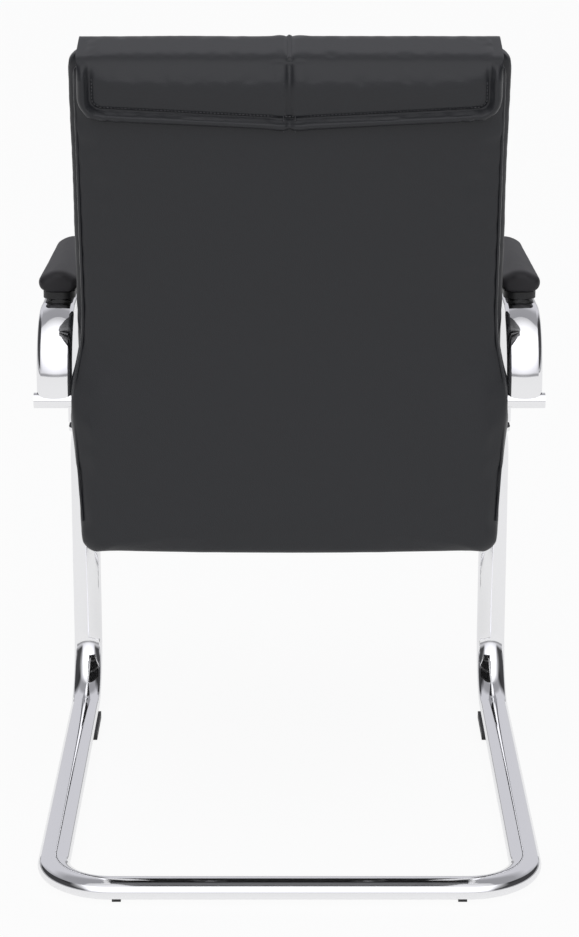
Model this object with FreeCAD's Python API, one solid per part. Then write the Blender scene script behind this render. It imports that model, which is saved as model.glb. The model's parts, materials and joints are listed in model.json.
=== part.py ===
import FreeCAD, Part
import math
import os

# Cantilever conference chair in millimetres.
# +Z is up, the sitter faces -Y, and the origin is on the floor under the middle of the chair.

# Overall
depth = 689.0
frame_width = 576.0
slip = 0.3

# Bent floor frame of flat oval tube
tube_wide = 37.0
tube_thick = 24.0
tube_edge = 9.0
tube_wall = 2.0
floor_gap = 3.0
corner_radius = 70.0
foot_radius = 80.0
knee_radius = 50.0
runner_length = 647.0
knee_height = 396.0
twist_length = 150.0
rail_toe = 12.0
rail_length = 330.0
sleeve_length = 140.0
plug_length = 22.0
plug_flange = 2.5

# Seat plane, cross straps and seat board
seat_slope = 4.0
weld_gap = 0.4
strap_wide = 40.0
strap_thick = 5.0
front_strap_v = 95.0
rear_strap_v = 275.0
strap_inset = 18.0
strap_bolt_inset = 80.0
dust_cover = 1.0
dust_inset = 6.0
board_thick = 12.0
board_side = 28.0
board_front_v = -60.0
board_rear_v = 400.0
board_corner = 45.0

# Seat cushion
seat_arm_gap = 2.5
seat_shoulder = 72.0
seat_crown = 12.0
seat_nose = 62.0
seat_nose_tip = 34.0
seat_corner = 22.0
seat_draw = 3.0
nose_steps = 5

# Back profile: upright below, bent once, leaning above
back_set = 178.0
back_foot_z = 358.0
bend_over_bar = 26.0
back_bend_radius = 400.0
back_lean = 13.0
back_length = 582.0
back_board_side = 19.0
back_board_low = 32.0
back_board_top_gap = 18.0
back_board_corner = 50.0

# Rear pad of the back
panel_side = 9.0
panel_low_edge = 31.0
panel_top_edge = 16.0
panel_crown = 12.0
panel_corner = 16.0
panel_steps = 14
hip_flare = 12.0
hip_over_bar = 9.0
hip_span_above = 50.0
hip_span_below = 170.0

# Front cushion of the back
cushion_side = 2.0
cushion_low = 34.0
cushion_depth = 46.0
cushion_crown = 8.0
cushion_round = 18.0
cushion_steps = 12
lumbar_swell = 12.0
lumbar_up = 225.0
lumbar_span = 110.0
round_steps = 3

# Headrest cover folded over the top of the back
flap_side = 5.0
flap_thick = 10.0
flap_drop = 65.0
flap_bow = 12.0
flap_corner = 24.0
head_pad_thick = 12.0
head_pad_drop = 130.0
cover_top = 2.0
cover_round = 20.0
cover_front_round = 30.0

# Armrests of flatter oval tube, standing on the rear bar and on the rails
arm_inset = 3.5
arm_wide = 40.0
arm_thick = 18.0
arm_edge = 7.0
arm_wall = 2.0
arm_rise = 90.0
arm_rear_radius = 70.0
arm_front_radius = 58.0
arm_leg_v = 10.0
bar_d = 17.5
bar_wall = 2.5
bar_height = 535.0
bar_over = 1.5
cap_rim = 2.0
cap_stem = 14.0
foot_plate_wide = 44.0
foot_plate_long = 58.0
foot_plate_thick = 5.0
foot_plate_corner = 10.0
foot_screw_reach = 20.0

# Armrest pads and their trays
pad_length = 274.0
pad_shift = 5.0
pad_wide = 45.0
pad_front_wide = 39.0
pad_thick = 25.0
pad_front_thick = 15.0
pad_round = 14.0
pad_corner = 9.0
pad_crown = 5.0
pad_steps = 6
tray_thick = 8.0
tray_inset = 4.0
tray_corner = 14.0
pad_screw_spacing = 150.0
pad_screw_bite = 10.0

# Steel braces between seat and back, and saddles that hold the rear bar
brace_inset = 112.0
brace_wide = 40.0
brace_thick = strap_thick
brace_seat_length = 85.0
brace_bar_gap = 22.0
brace_bend = 9.0
brace_seat_bolts = (22.0, 62.0)
brace_back_bolts = (68.0, 23.0)
saddle_inset = 62.0
saddle_wide = 30.0
saddle_thick = 3.0
saddle_flange = 20.0

# Fasteners
bolt_d = 8.0
bolt_head_flats = 13.0
bolt_head = 5.3
bolt_fit = 0.3
nut_flange_d = 18.0
nut_flange = 1.6
screw_d = 5.0
screw_head_d = 9.5
screw_head = 3.0
glide_screw_d = 4.0
glide_screw_head_d = 7.0
glide_screw_head = 1.6
glide_screw_lift = 0.7

# Floor glides
front_glide_long = 80.0
front_glide_height = 9.0
front_glide_back = 1.0
front_glide_screw = 18.0
rear_glide_long = 10.0
rear_glide_wide = 10.0
rear_glide_height = 6.0
rear_glide_inset = 0.5
stud_d = 4.0
glide_lip = 2.5
glide_tuck = 6.0

X = FreeCAD.Vector(1, 0, 0)
Y = FreeCAD.Vector(0, 1, 0)
Z = FreeCAD.Vector(0, 0, 1)
origin = FreeCAD.Vector(0, 0, 0)


def point(x, y, z):
    return FreeCAD.Vector(x, y, z)


def sine(degrees):
    return math.sin(math.radians(degrees))


def cosine(degrees):
    return math.cos(math.radians(degrees))


def tangent(degrees):
    return math.tan(math.radians(degrees))


def turned(vector, axis, degrees):
    return FreeCAD.Rotation(axis, degrees).multVec(vector)


def placed(shape, frame):
    """Copy of a shape moved from a local frame into the chair's frame."""
    moved = shape.copy()
    moved.Placement = frame.multiply(moved.Placement)
    return moved


def mirrored(shape):
    return shape.mirror(origin, X)


def pair(shape):
    return Part.Compound([shape, mirrored(shape)])


def copies(shape, places):
    return Part.Compound([shape.translated(place) for place in places])


def largest(shape):
    return max(shape.Solids, key=lambda solid: solid.Volume)


def hollowed(shape, tools):
    for tool in tools:
        shape = shape.cut(tool)
    return largest(shape)


def centred_box(x_size, y_size, z_size, middle):
    box = Part.makeBox(x_size, y_size, z_size)
    return box.translated(middle - point(x_size / 2, y_size / 2, z_size / 2))


def rounded_outline(corners):
    """Closed wire through (point, radius) corners, each rounded by its own arc."""
    arcs = []
    for i, (corner, radius) in enumerate(corners):
        before = (corners[i - 1][0] - corner).normalize()
        after = (corners[(i + 1) % len(corners)][0] - corner).normalize()
        half = before.getAngle(after) / 2
        inside = (before + after).normalize()
        reach = radius / math.tan(half)
        middle = corner + inside * (radius / math.sin(half) - radius)
        arcs.append((corner + before * reach, middle, corner + after * reach))
    edges = []
    for i, (start, middle, end) in enumerate(arcs):
        edges.append(Part.Arc(start, middle, end).toShape())
        edges.append(Part.LineSegment(end, arcs[(i + 1) % len(arcs)][0]).toShape())
    return Part.Wire(edges)


def prism(wire, travel):
    return Part.Face(wire).extrude(travel)


def across(wire, width, middle_x):
    """Side profile extruded to a width about a plane of constant X."""
    return prism(wire, X * width).translated(X * (middle_x - width / 2))


def oval_face(centre, wide_axis, thin_axis, wide, thick, edge):
    """Oval section of four tangent arcs: tight at the edges and crowned on the flanks."""
    reach = wide / 2 - edge
    rise = thick / 2
    flank = (reach * reach + rise * rise - edge * edge) / (2 * (rise - edge))
    turn = math.atan2(reach, flank - rise)
    out = wide_axis * (reach + edge * math.sin(turn))
    up = thin_axis * (edge * math.cos(turn))
    side = wide_axis * (wide / 2)
    top = thin_axis * rise
    edges = [
        Part.Arc(centre - out + up, centre + top, centre + out + up).toShape(),
        Part.Arc(centre + out + up, centre + side, centre + out - up).toShape(),
        Part.Arc(centre + out - up, centre - top, centre - out - up).toShape(),
        Part.Arc(centre - out - up, centre - side, centre - out + up).toShape(),
    ]
    return Part.Face(Part.Wire(edges))


def tube_face(centre, wide_axis, thin_axis, inset):
    """Section of the frame tube drawn in by an inset all round."""
    wide = tube_wide - 2 * inset
    thick = tube_thick - 2 * inset
    return oval_face(centre, wide_axis, thin_axis, wide, thick, tube_edge - inset)


def bent_bar(face, start, heading, moves):
    """Carry a section face along straight runs, bends and twists, and fuse what it sweeps."""
    pieces = []
    here = start
    for kind, size, axis, degrees in moves:
        if kind == "run":
            pieces.append(face.extrude(heading * size))
            face = face.translated(heading * size)
            here = here + heading * size
        elif kind == "twist":
            far = face.translated(heading * size)
            here = here + heading * size
            far.rotate(here, heading, degrees)
            pieces.append(Part.makeLoft([face.OuterWire, far.OuterWire], True, True))
            face = far
        else:
            centre = here + axis.cross(heading) * size
            pieces.append(face.revolve(centre, axis, degrees))
            face = face.copy()
            face.rotate(centre, axis, degrees)
            here = centre + turned(here - centre, axis, degrees)
            heading = turned(heading, axis, degrees)
    return pieces[0].multiFuse(pieces[1:]).Solids[0]


def pillow_wire(place, half_width, base, crest, corner, crown, draw):
    """Cushion section: flat base, rounded corners, drawn-in sides and a crowned top."""
    corner = min(corner, (crest - base) / 2 - draw)
    cut = corner * (1 - cosine(45))
    right = [
        (half_width - corner, base),
        (half_width - cut, base + cut),
        (half_width, base + corner),
        (half_width - draw, (base + crest) / 2),
        (half_width, crest - corner),
        (half_width - cut, crest - cut),
        (half_width - corner, crest),
    ]
    left = [(-a, b) for a, b in reversed(right)]
    dots = [place(a, b) for a, b in right + [(0, crest + crown)] + left]
    edges = [Part.Arc(dots[i], dots[i + 1], dots[i + 2]).toShape() for i in range(0, len(dots) - 2, 2)]
    edges.append(Part.LineSegment(dots[-1], dots[0]).toShape())
    return Part.Wire(edges)


def end_round(gap, radius):
    """How far a rounded end has drawn in at a gap from its tip."""
    short = min(1.0, max(0.0, 1 - gap / radius))
    return radius * (1 - math.sqrt(1 - short * short))


def stations(low, high, low_round, high_round, steps):
    """Section places: close together in the rounded ends and even between them."""
    turns = [90.0 * i / round_steps for i in range(1, round_steps)]
    first = [low + slip] + [low + low_round * (1 - cosine(turn)) for turn in turns]
    last = [high - high_round * (1 - cosine(turn)) for turn in reversed(turns)] + [high - slip]
    start = low + low_round
    end = high - high_round
    return first + [start + (end - start) * i / steps for i in range(steps + 1)] + last


def hexagon_prism(height):
    corner = X * (bolt_head_flats / 2 / cosine(30))
    return prism(Part.makePolygon([turned(corner, Z, 60 * i) for i in range(7)]), Z * height)


def hex_bolt(length):
    """Hexagon bolt along local Z, with the underside of its head at zero."""
    return hexagon_prism(bolt_head).translated(Z * -bolt_head).fuse(Part.makeCylinder(bolt_d / 2, length))


def flange_nut():
    """Flange of an insert nut, standing on zero."""
    flange = Part.makeCylinder(nut_flange_d / 2, nut_flange)
    return flange.cut(Part.makeCylinder(bolt_d / 2 + bolt_fit / 2, nut_flange))


def bolt_bore(length):
    return Part.makeCylinder(bolt_d / 2 + bolt_fit / 2, length)


def forward(shape):
    """Turn a shape that stands along Z so that it points to the front of the chair."""
    turned_shape = shape.copy()
    turned_shape.rotate(origin, X, 90)
    return turned_shape


# Where the main pieces lie
tube_z = floor_gap + tube_thick / 2
side_x = frame_width / 2 - tube_wide / 2
rear_bar_y = depth / 2 - tube_wide / 2
upright_y = rear_bar_y - runner_length
back_foot_y = rear_bar_y - back_set
knee_z = knee_height - knee_radius - tube_thick / 2
knee_top = knee_radius + tube_thick / 2
rail_pitch = math.degrees(math.atan(tangent(seat_slope) * cosine(rail_toe)))
inward = point(-sine(rail_toe), cosine(rail_toe), 0)
knee_axis = Z.cross(inward)
knee_reach = knee_radius + knee_top * sine(rail_pitch)
seat_y = upright_y + cosine(rail_toe) * knee_reach
seat_z = knee_z + knee_top * cosine(rail_pitch) + weld_gap
seat_frame = FreeCAD.Placement(point(0, seat_y, seat_z), FreeCAD.Rotation(X, -seat_slope))
dust_top = strap_thick + dust_cover
board_top = dust_top + board_thick
arm_x = frame_width / 2 - arm_inset - arm_wide / 2
arm_height = bar_height + arm_rise
front_glide_y = upright_y + foot_radius + front_glide_back
rear_glide_x = side_x - corner_radius - rear_glide_inset - rear_glide_long / 2
rear_glide_at = point(rear_glide_x, rear_bar_y, 0)
seat_half_width = arm_x - arm_wide / 2 - seat_arm_gap
board_half_width = seat_half_width - board_side
cushion_half = seat_half_width - cushion_side
panel_half = cushion_half - panel_side
flap_half = panel_half - flap_side
back_board_half = panel_half - back_board_side
brace_x = back_board_half - brace_inset
saddle_x = back_board_half - saddle_inset
bar_up = bar_height - back_foot_z
back_bend_start = bar_up + bend_over_bar
hip_up = bar_up + hip_over_bar
brace_top = bar_height - bar_d / 2 - brace_bar_gap


def rail_x(v):
    """Centre of the left rail at a distance behind the knee in the seat plane."""
    return side_x - sine(rail_toe) * knee_reach - v * cosine(seat_slope) * tangent(rail_toe)


def frame_bar(inset):
    """Left half of the frame: rear bar, runner, upright and seat rail in one bent bar."""
    start = point(0, rear_bar_y, tube_z)
    lead = (knee_z - tube_z - foot_radius - twist_length) / 2
    moves = [
        ("run", side_x - corner_radius, None, None),
        ("bend", corner_radius, -Z, 90),
        ("run", runner_length - corner_radius - foot_radius, None, None),
        ("bend", foot_radius, -X, 90),
        ("run", lead, None, None),
        ("twist", twist_length, None, rail_toe),
        ("run", lead, None, None),
        ("bend", knee_radius, knee_axis, 90 + rail_pitch),
        ("run", rail_length, None, None),
    ]
    return bent_bar(tube_face(start, Y, Z, inset), start, X, moves)


def make_rail_plug():
    """Plug in the open rear end of the left rail."""
    heading = turned(Z, knee_axis, 90 + rail_pitch)
    centre = point(side_x, upright_y, knee_z) + inward * knee_radius
    end = centre + turned(inward * -knee_radius, knee_axis, 90 + rail_pitch) + heading * rail_length
    frame = FreeCAD.Placement(end, FreeCAD.Rotation(-knee_axis, heading, heading.cross(knee_axis), "XYZ"))
    stem = tube_face(origin, X, Z, tube_wall + slip).extrude(Y * -plug_length)
    flange = tube_face(origin, X, Z, 0).extrude(Y * plug_flange)
    return placed(stem.fuse(flange), frame)


def make_sleeve():
    """Sleeve inside the rear bar that joins the two halves of the frame."""
    start = point(-sleeve_length / 2, rear_bar_y, tube_z)
    hollow = tube_face(start, Y, Z, 2 * tube_wall + slip)
    body = tube_face(start, Y, Z, tube_wall + slip).extrude(X * sleeve_length)
    return body.cut(hollow.extrude(X * sleeve_length))


def glide(low, high, height, hollow):
    """Glide under a tube: a block flat on the floor, hollowed for the tube."""
    block = Part.makeBox(high.x - low.x, high.y - low.y, height, point(low.x, low.y, 0))
    return block.cut(hollow)


def make_front_glide():
    """Long glide under the runner, with a lip on its inner side."""
    start = point(side_x, front_glide_y, tube_z)
    low = point(side_x - tube_wide / 2 - glide_lip, front_glide_y, 0)
    high = point(side_x + tube_wide / 2 - glide_tuck, front_glide_y + front_glide_long, 0)
    hollow = tube_face(start, X, Z, -slip / 2).extrude(Y * front_glide_long)
    return glide(low, high, front_glide_height, hollow)


def make_rear_glide():
    """Small glide under the rear bar, held by a stud pressed into it."""
    start = point(rear_glide_x - rear_glide_long / 2, rear_bar_y, tube_z)
    reach = point(rear_glide_long / 2, rear_glide_wide / 2, 0)
    hollow = tube_face(start, Y, Z, -slip / 2).extrude(X * rear_glide_long)
    foot = glide(rear_glide_at - reach, rear_glide_at + reach, rear_glide_height, hollow)
    return foot.fuse(stud(stud_d / 2))


def stud(radius):
    return Part.makeCylinder(radius, floor_gap + 2 * tube_wall, rear_glide_at)


def screw_body(skirt):
    """Countersunk glide screw, grown by a skirt when it is used as a bore."""
    shank = Part.makeCylinder(glide_screw_d / 2 + skirt, floor_gap + 2 * tube_wall)
    head = Part.makeCone(glide_screw_head_d / 2 + skirt, glide_screw_d / 2 + skirt, glide_screw_head)
    return head.fuse(shank).translated(Z * glide_screw_lift)


def glide_bore():
    well = Part.makeCylinder(glide_screw_head_d / 2 + slip / 2, glide_screw_lift)
    return screw_body(slip / 2).fuse(well)


def seat_strap(v):
    """Cross strap lying on both rails, in the seat frame."""
    half = rail_x(v) + tube_wide / 2 - strap_inset
    return centred_box(2 * half, strap_wide, strap_thick, point(0, v, strap_thick / 2))


def board_outline(w, inset):
    half = board_half_width - inset
    front = board_front_v + inset
    rear = board_rear_v - inset
    corners = [(half, front), (half, rear), (-half, rear), (-half, front)]
    return rounded_outline([(point(x, v, w), board_corner) for x, v in corners])


def make_seat_cushion():
    """Seat cushion in the seat frame, with a waterfall front and a pocket for the board."""
    front = (-depth / 2 - seat_y) / cosine(seat_slope)
    rear = board_rear_v + cushion_depth
    base = strap_thick + slip
    places = [front + seat_nose * (1 - cosine(90.0 * i / nose_steps)) for i in range(nose_steps + 1)]
    wires = []
    for v in places + [(places[-1] + rear) / 2, rear]:
        half = seat_half_width - end_round(v - front + slip, seat_corner)
        fall = end_round(v - front, seat_nose) / seat_nose
        crest = seat_shoulder - (seat_shoulder - seat_nose_tip) * fall
        crown = seat_crown * crest / seat_shoulder
        onto = lambda a, b: point(a, v, b)
        wires.append(pillow_wire(onto, half, base, crest, seat_corner, crown, seat_draw))
    pocket = prism(board_outline(-slip, -slip), Z * (board_top + nut_flange + 2 * slip))
    return Part.makeLoft(wires, True, True).cut(pocket)


def back_at(u):
    """Point on the rear face of the back board at a length from its foot, and the lean there."""
    lean = min(back_lean, math.degrees(max(0.0, u - back_bend_start) / back_bend_radius))
    bend_end = back_bend_start + back_bend_radius * math.radians(back_lean)
    straight = max(0.0, u - bend_end)
    y = back_foot_y + back_bend_radius * (1 - cosine(lean)) + straight * sine(lean)
    z = back_foot_z + min(u, back_bend_start) + back_bend_radius * sine(lean) + straight * cosine(lean)
    return point(0, y, z), lean


def back_place(u):
    """Map across and rearward sizes at a height of the back into the chair's frame."""
    base, lean = back_at(u)
    normal = point(0, cosine(lean), -sine(lean))
    return lambda a, b: base + X * a + normal * b


def board_edge(t, reverse):
    """Lines and arc of the bent board's side profile at a depth from its rear face."""
    bend_end = back_bend_start + back_bend_radius * math.radians(back_lean)
    bend_mid = (back_bend_start + bend_end) / 2
    heights = [back_board_low, back_bend_start, bend_mid, bend_end, back_length - back_board_top_gap]
    dots = [back_place(u)(0, t) for u in heights]
    if reverse:
        dots.reverse()
    first = Part.LineSegment(dots[0], dots[1]).toShape()
    last = Part.LineSegment(dots[3], dots[4]).toShape()
    return [first, Part.Arc(dots[1], dots[2], dots[3]).toShape(), last], dots[0], dots[4]


def make_back_board():
    """Bent plywood board with rounded corners."""
    rear, rear_low, rear_top = board_edge(0, False)
    front, front_top, front_low = board_edge(-board_thick, True)
    rear.append(Part.LineSegment(rear_top, front_top).toShape())
    front.append(Part.LineSegment(front_low, rear_low).toShape())
    slab = across(Part.Wire(rear + front), 2 * back_board_half, 0)
    top = max(rear_top.z, front_top.z)
    corners = [(1, rear_low.z), (1, top), (-1, top), (-1, rear_low.z)]
    face = [(point(side * back_board_half, -depth, z), back_board_corner) for side, z in corners]
    return slab.common(prism(rounded_outline(face), Y * (2 * depth)))


def panel_half_width(u):
    span = hip_span_above if u > hip_up else hip_span_below
    return panel_half + hip_flare * math.exp(-(((u - hip_up) / span) ** 2))


def panel_edge(u):
    """Thickness of the rear pad at its border, less towards the top."""
    share = max(0.0, (u - back_bend_start) / (back_length - back_bend_start))
    return panel_low_edge + (panel_top_edge - panel_low_edge) * share


def panel_swell(u):
    """Crown of the rear pad over its border, none at the foot and the top."""
    return panel_crown * sine(180.0 * u / back_length) + slip


def make_rear_panel():
    """Rear pad of the back: straight top, waist, flared hips and a rounded foot."""
    wires = []
    for u in stations(0, back_length, panel_corner, panel_corner, panel_steps):
        pull = end_round(min(u, back_length - u), panel_corner)
        half = panel_half_width(u) - pull
        edge = panel_edge(u) - pull / 2
        wires.append(pillow_wire(back_place(u), half, slip, edge, panel_corner / 2, panel_swell(u), slip))
    return Part.makeLoft(wires, True, True)


def cushion_front(u):
    return cushion_depth + lumbar_swell * math.exp(-(((u - lumbar_up) / lumbar_span) ** 2))


def make_back_cushion():
    """Front cushion of the back, fuller at the lumbar height."""
    wires = []
    for u in stations(cushion_low, back_length, cushion_round, cushion_round, cushion_steps):
        pull = end_round(min(u - cushion_low, back_length - u), cushion_round)
        place = back_place(u)
        half = cushion_half - pull
        front = cushion_front(u) - pull
        onto = lambda a, b: place(a, -board_thick - b)
        wires.append(pillow_wire(onto, half, slip, front, cushion_round, cushion_crown, slip))
    return Part.makeLoft(wires, True, True)


def make_headrest(panel, cushion):
    """Padded cover that caps the top of the back and hangs down behind it as a flap."""
    base, lean = back_at(back_length)
    frame = FreeCAD.Placement(base, FreeCAD.Rotation(X, -lean))
    low = -head_pad_drop
    low_u = back_length - head_pad_drop
    rear_low = panel_edge(low_u) + panel_swell(low_u) + flap_thick
    rear_top = panel_top_edge + flap_thick
    front = -board_thick - cushion_front(back_length) - cushion_crown - head_pad_thick
    profile = [
        (point(0, rear_low, low), slip),
        (point(0, rear_top, cover_top), cover_round),
        (point(0, front, cover_top), cover_front_round),
        (point(0, front, low), head_pad_thick / 2),
    ]
    cap = across(rounded_outline(profile), 2 * flap_half, 0)
    hem = [
        (point(-flap_half, 0, 2 * flap_thick), slip),
        (point(-flap_half, 0, -flap_drop), flap_corner),
        (point(0, 0, -flap_drop - flap_bow), flap_corner),
        (point(flap_half, 0, -flap_drop), flap_corner),
        (point(flap_half, 0, 2 * flap_thick), slip),
    ]
    rear_keep = prism(rounded_outline(hem), Y * depth)
    front_keep = Part.makeBox(2 * flap_half, depth, head_pad_drop + 2 * flap_thick)
    front_keep.translate(point(-flap_half, -depth, low))
    core_front = -board_thick - cushion_depth / 2
    core = Part.makeBox(2 * flap_half, panel_top_edge / 2 - core_front, head_pad_drop + slip)
    core.translate(point(-flap_half, core_front, low))
    cap = placed(cap.common(rear_keep.fuse(front_keep)).cut(core), frame)
    normal = frame.Rotation.multVec(Y)
    along = frame.Rotation.multVec(Z)
    sunk = [panel.translated(normal * slip), panel.translated(along * slip)]
    sunk += [cushion.translated(normal * -slip), cushion.translated(along * slip)]
    return hollowed(cap, sunk)


# Rear bar and arm path, in the chair's frame
bar_y = back_foot_y + bar_d / 2 + slip
bar_half = frame_width / 2 - arm_inset + bar_over
arm_leg_y = seat_y + arm_leg_v * cosine(seat_slope)
pad_y = (bar_y + arm_leg_y) / 2 - pad_shift
arm_frame = FreeCAD.Placement(point(arm_x, pad_y, arm_height), FreeCAD.Rotation())


def bar_cylinder(radius, half_length):
    return Part.makeCylinder(radius, 2 * half_length, point(-half_length, bar_y, bar_height), X)


def pad_screw_places():
    return [Y * (side * pad_screw_spacing / 2) for side in (-1, 1)]


def pad_screw_bores(height):
    """Bores from under the arm tube to a height over its centre, in the arm frame."""
    bore = Part.makeCylinder(screw_d / 2 + slip / 2, height + arm_thick).translated(Z * -arm_thick)
    return copies(bore, pad_screw_places())


def arm_bar(inset):
    """Left armrest bar from the rear bar up, forward under the pad and down to the rail."""
    start = point(arm_x, bar_y, bar_height + bar_d / 4)
    moves = [
        ("run", arm_height - arm_rear_radius - start.z, None, None),
        ("bend", arm_rear_radius, X, 90),
        ("run", bar_y - arm_leg_y - arm_rear_radius - arm_front_radius, None, None),
        ("bend", arm_front_radius, X, 90),
        ("run", arm_height - arm_front_radius - seat_z + foot_plate_long, None, None),
    ]
    wide = arm_wide - 2 * inset
    thick = arm_thick - 2 * inset
    return bent_bar(oval_face(start, X, Y, wide, thick, arm_edge - inset), start, Z, moves)


def make_arm_tube():
    """Arm tube coped on the rear bar, cut off on the foot plate and bored for the pad's screws."""
    tube = arm_bar(0).cut(arm_bar(arm_wall))
    size = 3 * foot_plate_long
    below = centred_box(size, size, size, point(arm_x, arm_leg_v, foot_plate_thick - size / 2))
    tube = tube.cut(placed(below, seat_frame)).cut(placed(pad_screw_bores(2 * arm_thick), arm_frame))
    return hollowed(tube, [bar_cylinder(bar_d / 2, bar_half)])


def make_pad_screws():
    head = Part.makeCylinder(screw_head_d / 2, screw_head).translated(Z * -screw_head)
    screw = head.fuse(Part.makeCylinder(screw_d / 2, arm_thick + tray_thick + pad_screw_bite))
    return placed(copies(screw.translated(Z * (-arm_thick / 2)), pad_screw_places()), arm_frame)


def make_tray():
    """Flat tray between the arm tube and its pad."""
    end = pad_length / 2 - tray_inset
    rear = pad_wide / 2 - tray_inset
    front = pad_front_wide / 2 - tray_inset
    corners = [(rear, end), (-rear, end), (-front, -end), (front, -end)]
    outline = rounded_outline([(point(x, y, arm_thick / 2), tray_corner) for x, y in corners])
    return placed(prism(outline, Z * tray_thick).cut(pad_screw_bores(2 * arm_thick)), arm_frame)


def make_pad():
    """Armrest pad with rounded ends, wider and thicker at the rear."""
    base = arm_thick / 2 + tray_thick + slip
    end = pad_length / 2
    wires = []
    for q in stations(-end, end, pad_round, pad_round, pad_steps):
        share = (q + end) / pad_length
        pull = end_round(end - abs(q), pad_round)
        half = (pad_front_wide + (pad_wide - pad_front_wide) * share - pull) / 2
        crest = base + pad_front_thick + (pad_thick - pad_front_thick) * share - pad_crown - pull / 2
        onto = lambda a, b: point(a, q, b)
        wires.append(pillow_wire(onto, half, base, crest, pad_corner, pad_crown, slip))
    bores = pad_screw_bores(base + pad_screw_bite + slip)
    return placed(Part.makeLoft(wires, True, True).cut(bores), arm_frame)


foot_x = (arm_x + rail_x(arm_leg_v)) / 2
foot_screw_v = [arm_leg_v + side * foot_screw_reach for side in (-1, 1)]
foot_screw_places = [point(rail_x(v), v, 0) for v in foot_screw_v]


def foot_bores():
    bore = Part.makeCylinder(screw_d / 2 + slip / 2, 4 * foot_plate_thick)
    return copies(bore.translated(Z * (-2 * foot_plate_thick)), foot_screw_places)


def make_foot_plate():
    """Plate under the arm's front leg, screwed to the rail."""
    half_x = foot_plate_wide / 2
    half_v = foot_plate_long / 2
    corners = [(half_x, -half_v), (half_x, half_v), (-half_x, half_v), (-half_x, -half_v)]
    outline = [(point(foot_x + x, arm_leg_v + v, 0), foot_plate_corner) for x, v in corners]
    return placed(prism(rounded_outline(outline), Z * foot_plate_thick).cut(foot_bores()), seat_frame)


def make_foot_screws():
    head = Part.makeCylinder(screw_head_d / 2, screw_head).translated(Z * foot_plate_thick)
    bite = weld_gap + 2 * tube_wall
    shank = Part.makeCylinder(screw_d / 2, foot_plate_thick + bite).translated(Z * -bite)
    return placed(copies(head.fuse(shank), foot_screw_places), seat_frame)


# Bolts through the straps and braces into the seat board
brace_front_v = board_rear_v - brace_seat_length
seat_bolt_places = [point(rail_x(v) - strap_bolt_inset, v, 0) for v in (front_strap_v, rear_strap_v)]
seat_bolt_places += [point(brace_x, brace_front_v + reach, 0) for reach in brace_seat_bolts]
seat_bores = pair(copies(bolt_bore(3 * board_top).translated(Z * -board_top), seat_bolt_places))

# Bolts through the braces and saddles into the back board
saddle_reach = bar_d / 2 + slip + saddle_thick + saddle_flange / 2
saddle_bolt_z = [bar_height + side * saddle_reach for side in (-1, 1)]
brace_bolt_places = [point(brace_x, back_foot_y, brace_top - down) for down in brace_back_bolts]
saddle_bolt_places = [point(saddle_x, back_foot_y, z) for z in saddle_bolt_z]
back_bolt_places = brace_bolt_places + saddle_bolt_places
back_bore = forward(bolt_bore(4 * board_thick)).translated(Y * (2 * board_thick))
back_bores = pair(copies(back_bore, back_bolt_places))


def make_back_bolts():
    grip = board_thick + nut_flange
    brace_bolt = forward(hex_bolt(brace_thick + grip)).translated(Y * brace_thick)
    saddle_bolt = forward(hex_bolt(saddle_thick + grip)).translated(Y * saddle_thick)
    one_side = [copies(brace_bolt, brace_bolt_places), copies(saddle_bolt, saddle_bolt_places)]
    return pair(Part.Compound(one_side))


def make_brace():
    """Bent steel strap from under the seat board up behind the back board."""
    front_low = seat_frame.multVec(point(0, brace_front_v, 0))
    front_high = seat_frame.multVec(point(0, brace_front_v, brace_thick))
    along = seat_frame.Rotation.multVec(Y)
    outer_y = back_foot_y + brace_thick
    outer = front_low + along * ((outer_y - front_low.y) / along.y)
    inner = front_high + along * ((back_foot_y - front_high.y) / along.y)
    profile = [
        (front_low, slip),
        (outer, brace_bend + brace_thick),
        (point(0, outer_y, brace_top), slip),
        (point(0, back_foot_y, brace_top), slip),
        (inner, brace_bend),
        (front_high, slip),
    ]
    strap = across(rounded_outline(profile), brace_wide, brace_x)
    return strap.cut(placed(seat_bores, seat_frame)).cut(back_bores)


def make_saddle():
    """Saddle that clamps the rear bar against the back board."""
    inner = bar_d / 2 + slip
    outer = inner + saddle_thick
    arch = Part.makeCylinder(outer, saddle_wide, point(saddle_x - saddle_wide / 2, bar_y, bar_height), X)
    run = bar_y - back_foot_y
    side = centred_box(saddle_wide, run, 2 * outer, point(saddle_x, back_foot_y + run / 2, bar_height))
    tall = 2 * (outer + saddle_flange)
    flange_at = point(saddle_x, back_foot_y + saddle_thick / 2, bar_height)
    flange = centred_box(saddle_wide, saddle_thick, tall, flange_at)
    channel = centred_box(saddle_wide, 2 * run, 2 * inner, point(saddle_x, back_foot_y, bar_height))
    front = centred_box(saddle_wide, depth, tall, point(saddle_x, back_foot_y - depth / 2, bar_height))
    body = arch.fuse(side).fuse(flange)
    return hollowed(body, [bar_cylinder(inner, bar_half), channel, front, back_bores])


def make_bar_caps():
    stem_at = point(bar_half - cap_stem, bar_y, bar_height)
    stem = Part.makeCylinder(bar_d / 2 - bar_wall - slip, cap_stem, stem_at, X)
    rim = Part.makeCylinder(bar_d / 2, cap_rim, point(bar_half, bar_y, bar_height), X)
    return pair(stem.fuse(rim))


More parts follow.
